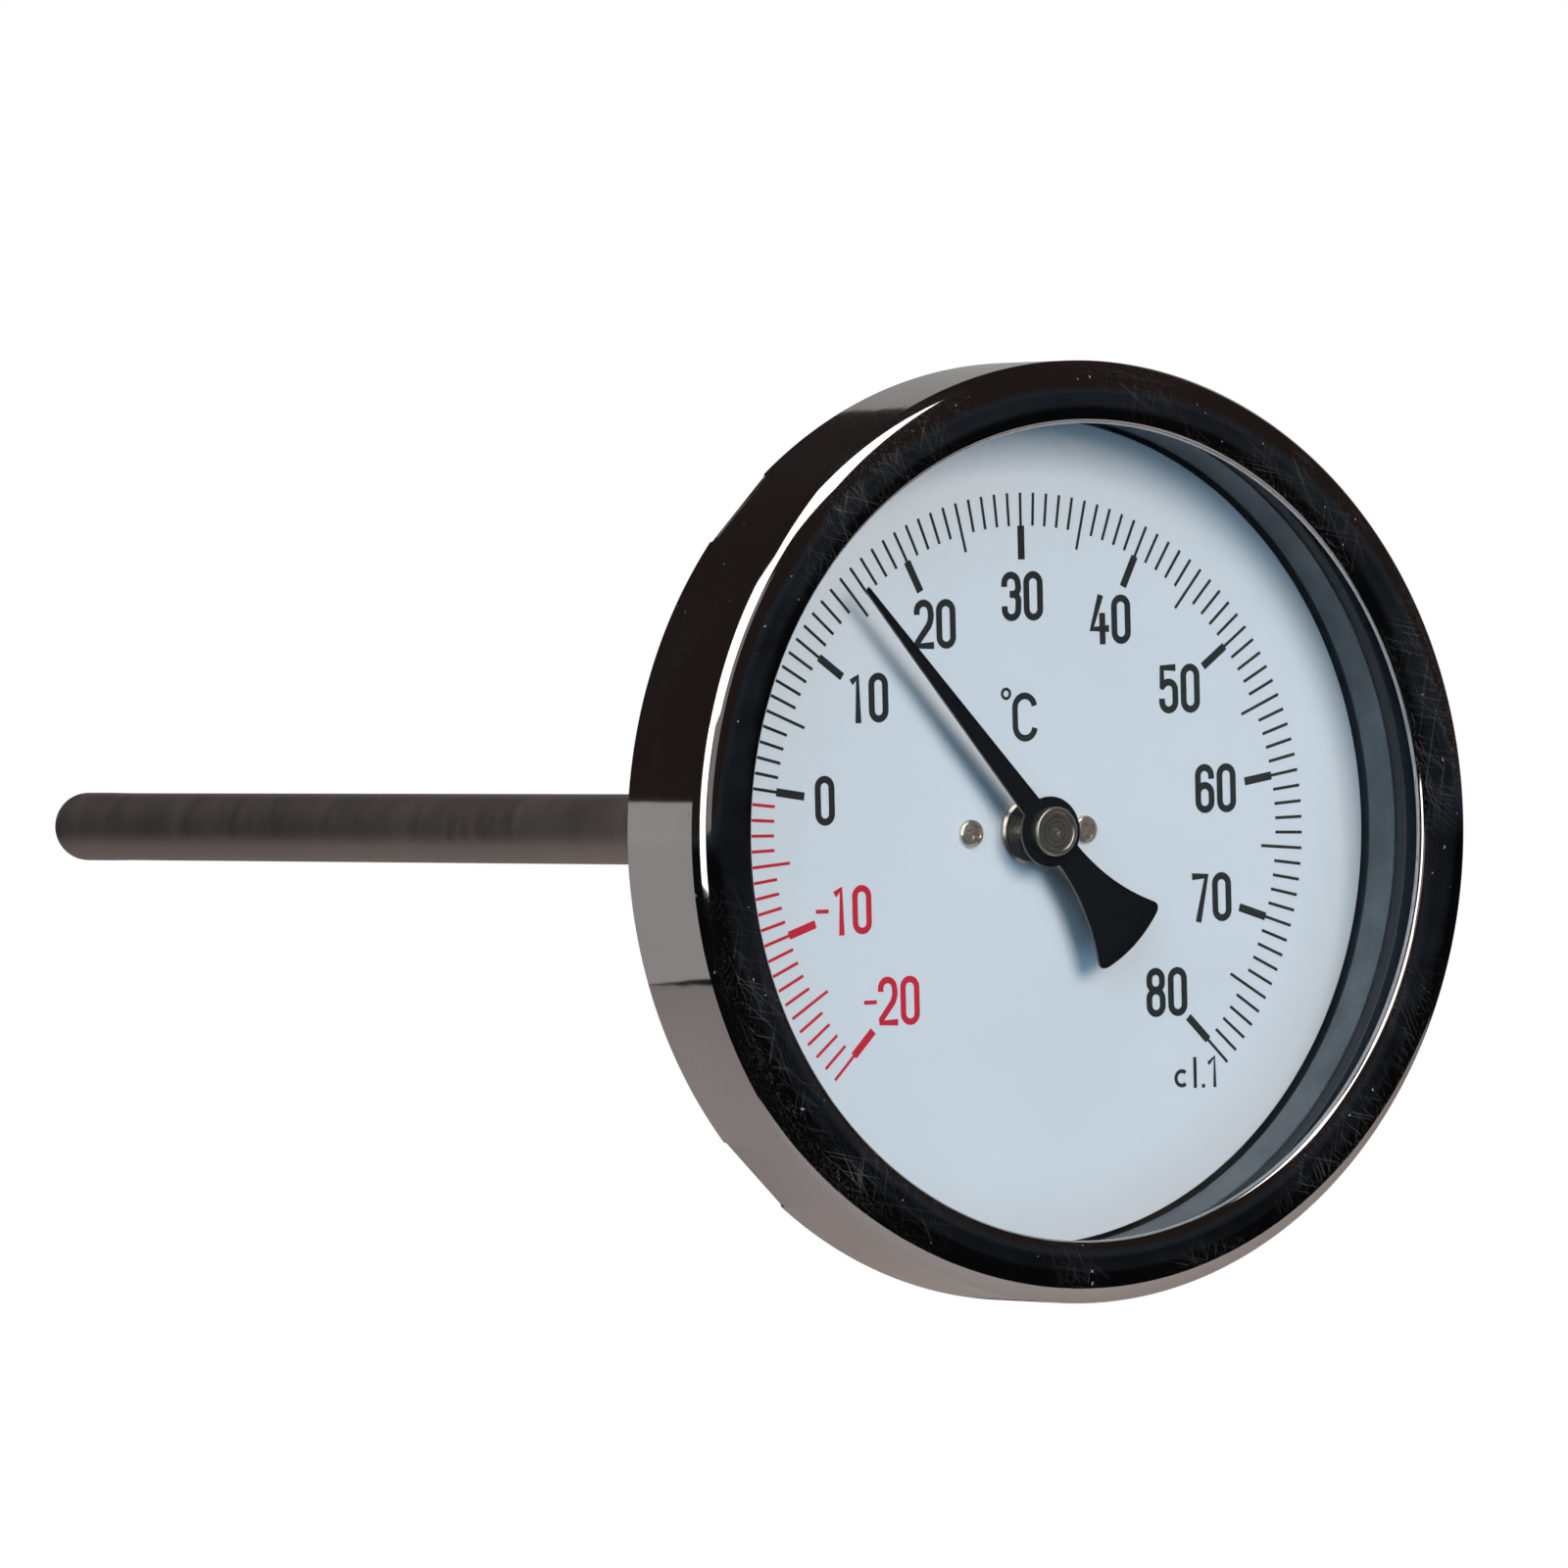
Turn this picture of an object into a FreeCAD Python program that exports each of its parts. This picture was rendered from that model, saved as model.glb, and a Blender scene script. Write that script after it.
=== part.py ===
import FreeCAD, Part
import math
import os

import Sketcher

# A dial thermometer with a rear stem. A bimetal coil in the stem turns a spindle,
# and the spindle turns the pointer over a -20 to 80 degree scale.
# Millimetres. The stem runs along +Y, the dial faces -Y and its 30 mark is up (+Z).
# The origin is on the stem's axis, at the shoulder where its full diameter begins.

SIZES = (
    # stem and its neck
    ("StemDiameter", 8.0),
    ("StemSheet", 0.6),
    ("StemLength", 188.0),
    ("NeckWall", 1.0),
    ("NeckChamfer", 0.5),
    ("NeckLength", 5.5),
    ("ShoulderGap", 0.5),
    ("SpigotStep", 0.2),
    ("HeadRim", 4.5),
    ("HeadClearance", 0.3),
    ("HeadFlange", 1.8),
    ("HeadOverlap", 2.9),
    ("SolderGap", 0.02),
    ("ThreadGap", 0.02),
    ("NeckGap", 0.1),
    ("SealSheet", 0.6),
    ("SealRim", 4.0),
    ("WasherSheet", 1.0),
    ("WasherRim", 4.0),
    ("NutWall", 2.0),
    ("NutHeight", 3.0),
    ("NutCorner", 1.08),
    ("CutMargin", 1.0),
    # case
    ("CaseSheet", 1.0),
    ("CaseCorner", 3.0),
    ("CaseGap", 0.6),
    ("DialSetback", 6.0),
    # bezel
    ("BezelDiameter", 102.4),
    ("BezelSheet", 0.8),
    ("BezelDepth", 14.4),
    ("ShoulderWidth", 2.6),
    ("ShoulderDepth", 1.9),
    ("ShoulderRadius", 2.73),
    ("ShoulderBore", 2.23),
    ("ShoulderInset", 0.1),
    ("LipDiameter", 89.2),
    ("LipRoll", 1.1),
    ("LipDepth", 4.2),
    ("CrimpWidth", 11.2),
    ("CrimpHeight", 6.3),
    ("CrimpDepth", 0.55),
    ("CrimpCount", 4),
    # window, its gasket and the ring that carries them
    ("WindowDiameter", 97.2),
    ("WindowSheet", 2.0),
    ("GasketSeat", 1.8),
    ("GasketDiameter", 93.2),
    ("GasketGap", 0.1),
    ("SpacerHeight", 4.5),
    ("SpacerFlare", 0.8),
    ("SpacerGap", 0.4),
    ("SpacerSlack", 0.25),
    ("SpacerUndercut", 1.0),
    ("SpacerFoot", 0.15),
    ("SpacerUndercutHeight", 0.8),
    # dial and its supports
    ("DialDiameter", 90.4),
    ("DialSheet", 0.5),
    ("DialHole", 4.2),
    ("BracketLength", 24.0),
    ("BracketWidth", 12.0),
    ("BracketSheet", 1.0),
    ("ScrewSpacing", 15.2),
    ("ScrewDiameter", 1.6),
    ("ScrewHead", 3.1),
    ("ScrewHeadHeight", 0.85),
    ("ScrewHeadEdge", 0.35),
    ("ScrewDome", 3.0),
    ("ScrewGap", 0.1),
    ("RecessLength", 1.7),
    ("RecessWidth", 0.34),
    ("RecessDepth", 0.45),
    ("PillarDiameter", 3.8),
    # centre bush, pointer and hub
    ("BushDiameter", 7.2),
    ("BushFlange", 0.7),
    ("BushChamfer", 0.25),
    ("BushBossDiameter", 2.8),
    ("BushBossHeight", 2.6),
    ("BushSpigot", 3.8),
    ("PointerHeight", 4.5),
    ("PointerSheet", 0.4),
    ("PointerReach", 35.7),
    ("PointerRoot", 1.42),
    ("PointerTip", 0.3),
    ("PointerBoss", 3.85),
    ("TailReach", 16.7),
    ("TailWidth", 11.0),
    ("TailNeck", 3.2),
    ("TailRoot", 3.08),
    ("TailFlank", 24.0),
    ("TailCorner", 1.2),
    ("HubDiameter", 5.44),
    ("HubHeight", 1.25),
    ("HubChamfer", 0.3),
    ("HubSpigot", 2.0),
    ("HubRivet", 2.8),
    ("HubRivetHeight", 0.45),
    ("HubDimple", 0.35),
    ("HubCore", 0.6),
    # spindle, bimetal coil and the bushes in the stem
    ("SpindleDiameter", 1.2),
    ("SpindleGap", 0.06),
    ("CollarStart", 120.0),
    ("CollarLength", 4.5),
    ("CoilSlack", 0.65),
    ("CoilSheet", 0.3),
    ("CoilGap", 0.03),
    ("CoilWidth", 2.2),
    ("CoilPitch", 3.0),
    ("CoilTurns", 18),
    ("CoilLead", 1.0),
    ("AnchorLength", 3.5),
    ("AnchorNub", 2.6),
    ("AnchorGap", 0.2),
    ("GuideLength", 4.0),
    ("GuideGap", 0.02),
    ("UpperGuide", 30.0),
    ("LowerGuide", 100.0),
    # scale: what the pointer shows and how far it turns for a degree
    ("TopOfScale", 30.0),
    ("Reading", 14.8),
    ("TurnPerDegree", 2.7),
)

# Planes along the stem (Y) and radii that follow from the sizes.
LEVELS = (
    ("NeckBack", "-Sizes.ShoulderGap"),
    ("CaseBack", "NeckBack - Sizes.NeckLength"),
    ("FloorFront", "CaseBack - Sizes.CaseSheet"),
    ("SealFront", "FloorFront - Sizes.SealSheet"),
    ("HeadFront", "SealFront - Sizes.HeadFlange"),
    ("BracketFront", "HeadFront - Sizes.BracketSheet"),
    ("DialFront", "CaseBack - Sizes.DialSetback"),
    ("DialBack", "DialFront + Sizes.DialSheet"),
    ("SpacerFront", "DialFront - Sizes.SpacerHeight"),
    ("WindowBack", "SpacerFront - Sizes.GasketSeat"),
    ("WindowFront", "WindowBack - Sizes.WindowSheet"),
    ("BezelFront", "WindowFront - Sizes.LipDepth"),
    ("SkirtBack", "BezelFront + Sizes.BezelDepth"),
    ("PointerFront", "DialFront - Sizes.PointerHeight"),
    ("PointerBack", "PointerFront + Sizes.PointerSheet"),
    ("HubFront", "PointerFront - Sizes.HubHeight"),
    ("HubBack", "PointerBack + Sizes.HubRivetHeight"),
    ("BushFront", "DialFront - Sizes.BushFlange"),
    ("BossFront", "BushFront - Sizes.BushBossHeight"),
    ("StemRadius", "Sizes.StemDiameter / 2"),
    ("BoreRadius", "StemRadius - Sizes.StemSheet"),
    ("StemFront", "NeckBack - Sizes.HeadOverlap"),
    ("SpigotRadius", "StemRadius - Sizes.SpigotStep"),
    ("TipCentre", "Sizes.StemLength - StemRadius"),
    ("NeckRadius", "StemRadius + Sizes.NeckWall"),
    ("SkirtRadius", "Sizes.BezelDiameter / 2"),
    ("SkirtBore", "SkirtRadius - Sizes.BezelSheet"),
    ("CaseRadius", "SkirtBore - Sizes.CaseGap"),
    ("CaseBore", "CaseRadius - Sizes.CaseSheet"),
    ("SpindleBore", "Sizes.SpindleDiameter / 2 + Sizes.SpindleGap"),
    ("CoilBore", "BoreRadius - Sizes.CoilSlack - Sizes.CoilSheet"),
    ("CollarRadius", "CoilBore - Sizes.CoilGap"),
    ("CollarEnd", "Sizes.CollarStart + Sizes.CollarLength"),
    ("CoilStart", "Sizes.CollarStart + Sizes.CoilLead"),
    ("CoilEnd", "CoilStart + Sizes.CoilTurns * Sizes.CoilPitch + Sizes.CoilWidth"),
    ("AnchorFront", "CoilEnd + Sizes.AnchorGap"),
    ("RestAngle", "(Sizes.TopOfScale - Sizes.Reading) * Sizes.TurnPerDegree"),
)

doc = FreeCAD.newDocument("DialThermometer")
pieces = []


def fill_sheet(name, rows):
    """Write named cells, one row each: the alias in column A and its content in column B."""
    sheet = doc.addObject("Spreadsheet::Sheet", name)
    for row, (alias, content) in enumerate(rows, start=1):
        sheet.set(f"A{row}", alias)
        sheet.set(f"B{row}", content)
        sheet.setAlias(f"B{row}", alias)
    return sheet


sizes = fill_sheet("Sizes", [(alias, str(value)) for alias, value in SIZES])
doc.recompute()
levels = fill_sheet("Levels", [(alias, "=" + formula) for alias, formula in LEVELS])
doc.recompute()


def number(text):
    """The present value of an expression, used as a sketch's first guess."""
    return float(sizes.evalExpression(text))


# ---------------------------------------------------------------- bodies and sketches


def start_body(name):
    body = doc.addObject("PartDesign::Body", name)
    body.Label = name
    pieces.append(body)
    return body


def start_sketch(body, role):
    """An empty sketch on one of the body's own origin planes."""
    plane = next(feature for feature in body.Origin.OriginFeatures if feature.Role == role)
    sketch = body.newObject("Sketcher::SketchObject", body.Name + "_sketch")
    sketch.AttachmentSupport = [(plane, "")]
    sketch.MapMode = "FlatFace"
    return sketch


def hold(sketch, geometry, end, across, along):
    """Fix one end of a line or an arc at two distances given as expressions."""
    for kind, axis, text in (("DistanceX", -2, across), ("DistanceY", -1, along)):
        if text == "0":
            sketch.addConstraint(Sketcher.Constraint("PointOnObject", geometry, end, axis))
            continue
        index = sketch.addConstraint(
            Sketcher.Constraint(kind, -1, 1, geometry, end, number(text))
        )
        sketch.setExpression(f"Constraints[{index}]", text)


def draw(sketch, corners):
    """Draw a closed outline. A corner is (across, along), or (across, along, radius, side)
    when an arc of that radius leads to it, with its centre on the left (1) or right (-1)."""
    spots = [(number(corner[0]), number(corner[1])) for corner in corners]
    first = len(sketch.Geometry)
    ends = []
    for index, corner in enumerate(corners):
        start, end = spots[index - 1], spots[index]
        if len(corner) == 2:
            sketch.addGeometry(Part.LineSegment(FreeCAD.Vector(*start), FreeCAD.Vector(*end)))
            ends.append((1, 2))
            continue
        radius, side = number(corner[2]), corner[3]
        run = (end[0] - start[0], end[1] - start[1])
        chord = math.hypot(*run)
        rise = side * math.sqrt(max(radius**2 - chord**2 / 4, 0)) / chord
        centre = FreeCAD.Vector(
            (start[0] + end[0]) / 2 - run[1] * rise, (start[1] + end[1]) / 2 + run[0] * rise
        )
        angles = [math.atan2(spot[1] - centre.y, spot[0] - centre.x) for spot in (start, end)]
        if side < 0:
            angles.reverse()
        circle = Part.Circle(centre, FreeCAD.Vector(0, 0, 1), radius)
        sketch.addGeometry(Part.ArcOfCircle(circle, *angles))
        ends.append((1, 2) if side > 0 else (2, 1))
    count = len(corners)
    for index in range(count):
        following = (index + 1) % count
        sketch.addConstraint(
            Sketcher.Constraint(
                "Coincident", first + index, ends[index][1], first + following, ends[following][0]
            )
        )
    for index, corner in enumerate(corners):
        hold(sketch, first + index, ends[index][1], corner[0], corner[1])
        if len(corner) > 2:
            bound = sketch.addConstraint(
                Sketcher.Constraint("Radius", first + index, number(corner[2]))
            )
            sketch.setExpression(f"Constraints[{bound}]", corner[2])
    doc.recompute()


def draw_circle(sketch, across, along, radius):
    index = sketch.addGeometry(
        Part.Circle(
            FreeCAD.Vector(number(across), number(along)), FreeCAD.Vector(0, 0, 1), number(radius)
        )
    )
    hold(sketch, index, 3, across, along)
    bound = sketch.addConstraint(Sketcher.Constraint("Radius", index, number(radius)))
    sketch.setExpression(f"Constraints[{bound}]", radius)
    doc.recompute()


def turned(name, corners):
    """A piece turned about the stem's axis from a half section of (radius, place) corners."""
    body = start_body(name)
    sketch = start_sketch(body, "XY_Plane")
    draw(sketch, corners)
    feature = body.newObject("PartDesign::Revolution", name + "_turned")
    feature.Profile = sketch
    feature.ReferenceAxis = (sketch, ["V_Axis"])
    feature.Angle = 360
    doc.recompute()
    return body


def ring(name, bore, radius, front, back):
    """A plain ring: its bore and outer radius, and its front and back planes."""
    return turned(name, ((bore, front), (radius, front), (radius, back), (bore, back)))


def face_sketch(body, plane, angle="0", across="0"):
    """A sketch that faces the reader of the dial, on the plane Y = plane, turned by angle."""
    sketch = start_sketch(body, "XZ_Plane")
    sketch.AttachmentOffset = FreeCAD.Placement(
        FreeCAD.Vector(number(across), 0, -number(plane)),
        FreeCAD.Rotation(FreeCAD.Vector(0, 0, 1), number(angle)),
    )
    sketch.setExpression("AttachmentOffset.Base.z", f"-({plane})")
    if across != "0":
        sketch.setExpression("AttachmentOffset.Base.x", across)
    if angle != "0":
        sketch.setExpression("AttachmentOffset.Rotation.Angle", angle)
    return sketch


def grow(body, sketch, length):
    """Pad a face sketch towards the reader (-Y)."""
    feature = body.newObject("PartDesign::Pad", body.Name + "_pad")
    feature.Profile = sketch
    feature.Length = number(length)
    feature.setExpression("Length", length)
    doc.recompute()
    return feature


def cut(body, sketch, length, towards_reader=True):
    """Pocket a face sketch, and make sure that it took material away."""
    before = body.Shape.Volume
    feature = body.newObject("PartDesign::Pocket", body.Name + "_pocket")
    feature.Profile = sketch
    feature.Length = number(length)
    feature.setExpression("Length", length)
    feature.Reversed = towards_reader
    doc.recompute()
    if body.Shape.Volume > before - 1e-6:
        raise RuntimeError(f"{feature.Name} cuts nothing")
    return feature


def rectangle(left, right, low, high):
    return ((right, low), (right, high), (left, high), (left, low))


# ---------------------------------------------------------------- stem and neck


def build_stem():
    """A thin tube with a round closed tip and a spigot that goes into the neck."""
    turned(
        "stem",
        (
            ("Levels.BoreRadius", "Levels.StemFront"),
            ("Levels.SpigotRadius", "Levels.StemFront"),
            ("Levels.SpigotRadius", "0"),
            ("Levels.StemRadius", "0"),
            ("Levels.StemRadius", "Levels.TipCentre"),
            ("0", "Sizes.StemLength", "Levels.StemRadius", 1),
            ("0", "Sizes.StemLength - Sizes.StemSheet"),
            ("Levels.BoreRadius", "Levels.TipCentre", "Levels.BoreRadius", -1),
        ),
    )


def build_stem_head():
    """The turned head that holds the stem: a flange in the case and a neck through it."""
    turned(
        "stem_head",
        (
            ("Sizes.BushSpigot / 2 + Sizes.HeadClearance", "Levels.HeadFront"),
            ("Levels.NeckRadius + Sizes.HeadRim", "Levels.HeadFront"),
            ("Levels.NeckRadius + Sizes.HeadRim", "Levels.SealFront"),
            ("Levels.NeckRadius", "Levels.SealFront"),
            ("Levels.NeckRadius", "Levels.NeckBack - Sizes.NeckChamfer"),
            ("Levels.NeckRadius - Sizes.NeckChamfer", "Levels.NeckBack"),
            ("Levels.SpigotRadius + Sizes.SolderGap", "Levels.NeckBack"),
            ("Levels.SpigotRadius + Sizes.SolderGap", "Levels.StemFront"),
            ("Sizes.BushSpigot / 2 + Sizes.HeadClearance", "Levels.StemFront"),
        ),
    )


def build_neck_rings():
    """The seal inside the case and the washer outside it."""
    bore = "Levels.NeckRadius + Sizes.NeckGap"
    ring("head_seal", bore, "Levels.NeckRadius + Sizes.SealRim", "Levels.SealFront", "Levels.FloorFront")
    back = "Levels.CaseBack + Sizes.WasherSheet"
    ring("lock_washer", bore, "Levels.NeckRadius + Sizes.WasherRim", "Levels.CaseBack", back)


def build_lock_nut():
    """A thin hexagon nut with both rims of its corners turned off."""
    body = start_body("lock_nut")
    front = "Levels.CaseBack + Sizes.WasherSheet"
    back = f"{front} + Sizes.NutHeight"
    flats = "(Levels.NeckRadius + Sizes.NutWall)"
    corner = f"{flats} * 2 / sqrt(3)"
    sketch = face_sketch(body, back)
    draw(
        sketch,
        (
            (corner, "0"),
            (f"{corner} / 2", flats),
            (f"-{corner} / 2", flats),
            (f"-{corner}", "0"),
            (f"-{corner} / 2", f"-{flats}"),
            (f"{corner} / 2", f"-{flats}"),
        ),
    )
    grow(body, sketch, "Sizes.NutHeight")
    hole = face_sketch(body, back)
    draw_circle(hole, "0", "0", "Levels.NeckRadius + Sizes.ThreadGap")
    cut(body, hole, "Sizes.NutHeight")
    for plane, inward in ((front, "+"), (back, "-")):
        profile = start_sketch(body, "XY_Plane")
        draw(
            profile,
            (
                (flats, plane),
                (f"{corner} + Sizes.CutMargin", plane),
                (f"{corner} + Sizes.CutMargin", f"{plane} {inward} Sizes.NutCorner"),
            ),
        )
        groove = body.newObject("PartDesign::Groove", "lock_nut_groove")
        groove.Profile = profile
        groove.ReferenceAxis = (profile, ["V_Axis"])
        groove.Angle = 360
        doc.recompute()


# ---------------------------------------------------------------- case, bezel and window


def build_case():
    """A drawn cup, open towards the reader, with a hole for the neck in its floor."""
    inner_corner = "Sizes.CaseCorner - Sizes.CaseSheet"
    turned(
        "case",
        (
            ("Levels.NeckRadius + Sizes.NeckGap", "Levels.FloorFront"),
            (f"Levels.CaseBore - ({inner_corner})", "Levels.FloorFront"),
            ("Levels.CaseBore", f"Levels.FloorFront - ({inner_corner})", inner_corner, -1),
            ("Levels.CaseBore", "Levels.SpacerFront"),
            ("Levels.CaseRadius", "Levels.SpacerFront"),
            ("Levels.CaseRadius", "Levels.CaseBack - Sizes.CaseCorner"),
            ("Levels.CaseRadius - Sizes.CaseCorner", "Levels.CaseBack", "Sizes.CaseCorner", 1),
            ("Levels.NeckRadius + Sizes.NeckGap", "Levels.CaseBack"),
        ),
    )


def build_bezel():
    """A drawn cover: a straight skirt over the case, a rounded shoulder, a flat face, and an
    inner lip that is rolled back onto the window. Flats pressed into the skirt hold the case."""
    thin = "Sizes.BezelSheet"
    shoulder_side = "Levels.BezelFront + Sizes.ShoulderDepth"
    shoulder_top = "Levels.SkirtRadius - Sizes.ShoulderWidth"
    roll_radius = "Sizes.LipDiameter / 2 + Sizes.LipRoll"
    roll_level = "Levels.BezelFront + Sizes.LipRoll"
    slant = "cos(45)"
    inner_roll = f"(Sizes.LipRoll - {thin})"
    back_run = f"(Sizes.LipDepth - Sizes.LipRoll - Sizes.LipRoll * {slant})"
    body = turned(
        "bezel",
        (
            ("Levels.SkirtBore", "Levels.SkirtBack"),
            ("Levels.SkirtBore", f"{shoulder_side} + Sizes.ShoulderInset"),
            (shoulder_top, f"Levels.BezelFront + {thin}", "Sizes.ShoulderBore", -1),
            (roll_radius, f"Levels.BezelFront + {thin}"),
            (
                f"{roll_radius} - {inner_roll} * {slant}",
                f"{roll_level} + {inner_roll} * {slant}",
                inner_roll,
                -1,
            ),
            (
                f"{roll_radius} - Sizes.LipRoll * {slant} + {back_run} + {thin} / {slant}",
                "Levels.WindowFront",
            ),
            (f"{roll_radius} - Sizes.LipRoll * {slant} + {back_run}", "Levels.WindowFront"),
            (
                f"{roll_radius} - Sizes.LipRoll * {slant}",
                f"{roll_level} + Sizes.LipRoll * {slant}",
            ),
            (roll_radius, "Levels.BezelFront", "Sizes.LipRoll", 1),
            (shoulder_top, "Levels.BezelFront"),
            ("Levels.SkirtRadius", shoulder_side, "Sizes.ShoulderRadius", 1),
            ("Levels.SkirtRadius", "Levels.SkirtBack"),
        ),
    )
    flat = "Levels.SkirtRadius - Sizes.CrimpDepth"
    half = "Sizes.CrimpWidth / 2"
    first_turn = "180 / Sizes.CrimpCount"
    outside = face_sketch(body, "Levels.SkirtBack", first_turn)
    draw(outside, rectangle(f"-{half}", half, flat, "Levels.SkirtRadius + Sizes.CutMargin"))
    pocket = cut(body, outside, "Sizes.CrimpHeight")
    inside = face_sketch(body, "Levels.SkirtBack", first_turn)
    draw(inside, rectangle(f"-{half}", half, f"{flat} - {thin}", flat))
    pad = grow(body, inside, "Sizes.CrimpHeight")
    pattern = body.newObject("PartDesign::PolarPattern", "bezel_crimps")
    pattern.Originals = [pocket, pad]
    axis = next(feature for feature in body.Origin.OriginFeatures if feature.Role == "Y_Axis")
    pattern.Axis = (axis, [""])
    pattern.Angle = 360
    pattern.Occurrences = int(number("Sizes.CrimpCount"))
    pattern.setExpression("Occurrences", "Sizes.CrimpCount")
    body.Tip = pattern
    doc.recompute()


def build_window():
    """The glass and the black gasket that it lies in."""
    edge = "Sizes.WindowDiameter / 2"
    turned(
        "window",
        (
            ("0", "Levels.WindowFront"),
            (edge, "Levels.WindowFront"),
            (edge, "Levels.WindowBack"),
            ("0", "Levels.WindowBack"),
        ),
    )
    inner = "Sizes.GasketDiameter / 2"
    turned(
        "window_gasket",
        (
            (inner, "Levels.SpacerFront"),
            ("Levels.CaseRadius", "Levels.SpacerFront"),
            ("Levels.CaseRadius", "Levels.WindowFront"),
            (f"{edge} + Sizes.GasketGap", "Levels.WindowFront"),
            (f"{edge} + Sizes.GasketGap", "Levels.WindowBack"),
            (inner, "Levels.WindowBack"),
        ),
    )


def build_spacer():
    """The grey ring that stands on the case floor, round the dial, and carries the window."""
    throat = "Sizes.DialDiameter / 2 + Sizes.SpacerGap"
    foot = f"{throat} + Sizes.SpacerUndercut"
    ledge = "Levels.DialFront - Sizes.SpacerUndercutHeight"
    outer = "Levels.CaseBore - Sizes.SpacerSlack"
    turned(
        "spacer_ring",
        (
            (foot, "Levels.FloorFront"),
            (foot, ledge),
            (throat, ledge),
            (f"{throat} + Sizes.SpacerFlare", "Levels.SpacerFront"),
            (outer, "Levels.SpacerFront"),
            (outer, "Levels.FloorFront - Sizes.CaseCorner"),
            (f"{foot} + Sizes.SpacerFoot", "Levels.FloorFront"),
        ),
    )


# ---------------------------------------------------------------- dial and its supports


def build_dial():
    """A thin round plate with a hole for the bush and one for each screw."""
    body = start_body("dial")
    outline = face_sketch(body, "Levels.DialBack")
    draw_circle(outline, "0", "0", "Sizes.DialDiameter / 2")
    grow(body, outline, "Sizes.DialSheet")
    holes = face_sketch(body, "Levels.DialBack")
    draw_circle(holes, "0", "0", "Sizes.DialHole / 2")
    for side in ("", "-"):
        place = f"{side}Sizes.ScrewSpacing / 2"
        draw_circle(holes, place, "0", "Sizes.ScrewDiameter / 2 + Sizes.ScrewGap")
    cut(body, holes, "Sizes.DialSheet")


def build_bracket():
    """The strip on the stem's head that the bush is pressed into and the pillars stand on."""
    body = start_body("dial_bracket")
    outline = face_sketch(body, "Levels.HeadFront")
    half_run = "(Sizes.BracketLength - Sizes.BracketWidth) / 2"
    end = "Sizes.BracketWidth / 2"
    draw(
        outline,
        (
            (half_run, f"-{end}"),
            (f"{half_run} + {end}", "0", end, 1),
            (half_run, end, end, 1),
            (f"-{half_run}", end),
            (f"-{half_run} - {end}", "0", end, 1),
            (f"-{half_run}", f"-{end}", end, 1),
        ),
    )
    grow(body, outline, "Sizes.BracketSheet")
    hole = face_sketch(body, "Levels.HeadFront")
    draw_circle(hole, "0", "0", "Sizes.BushSpigot / 2 + Sizes.SolderGap")
    cut(body, hole, "Sizes.BracketSheet")


def build_pillars():
    """Two tapped pillars, one under each dial screw."""
    body = start_body("dial_pillars")
    length = "Levels.BracketFront - Levels.DialBack"
    outline = face_sketch(body, "Levels.BracketFront")
    for side in ("", "-"):
        place = f"{side}Sizes.ScrewSpacing / 2"
        draw_circle(outline, place, "0", "Sizes.PillarDiameter / 2")
        draw_circle(outline, place, "0", "Sizes.ScrewDiameter / 2 + Sizes.ThreadGap")
    grow(body, outline, length)


def build_screws():
    """Two pan head screws with a cross recess. They are one node, as they are alike."""
    body = start_body("dial_screws")
    axis = "Sizes.ScrewSpacing / 2"
    sketch = start_sketch(body, "XY_Plane")
    sketch.AttachmentOffset = FreeCAD.Placement(
        FreeCAD.Vector(number(axis), 0, 0), FreeCAD.Rotation()
    )
    sketch.setExpression("AttachmentOffset.Base.x", axis)
    shank = "Sizes.ScrewDiameter / 2"
    head = "Sizes.ScrewHead / 2"
    top = "Levels.DialFront - Sizes.ScrewHeadHeight"
    draw(
        sketch,
        (
            ("0", top),
            (head, "Levels.DialFront - Sizes.ScrewHeadEdge", "Sizes.ScrewDome", 1),
            (head, "Levels.DialFront"),
            (shank, "Levels.DialFront"),
            (shank, "Levels.BracketFront - Sizes.ScrewGap"),
            ("0", "Levels.BracketFront - Sizes.ScrewGap"),
        ),
    )
    screw = body.newObject("PartDesign::Revolution", "dial_screws_turned")
    screw.Profile = sketch
    screw.ReferenceAxis = (sketch, ["V_Axis"])
    screw.Angle = 360
    doc.recompute()
    recess = face_sketch(body, top, across=axis)
    arm = "Sizes.RecessLength / 2"
    half = "Sizes.RecessWidth / 2"
    quarter = ((arm, half), (half, half), (half, arm))
    cross = []
    for turn in range(4):
        for across, along in quarter if turn % 2 == 0 else quarter[::-1]:
            first = "" if turn in (0, 3) else "-"
            second = "" if turn in (0, 1) else "-"
            cross.append((first + across, second + along))
    draw(recess, cross)
    slot = cut(body, recess, "Sizes.RecessDepth", towards_reader=False)
    mirror = body.newObject("PartDesign::Mirrored", "dial_screws_pair")
    mirror.Originals = [screw, slot]
    plane = next(feature for feature in body.Origin.OriginFeatures if feature.Role == "YZ_Plane")
    mirror.MirrorPlane = (plane, [""])
    body.Tip = mirror
    doc.recompute()


# ---------------------------------------------------------------- pointer and movement


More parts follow.
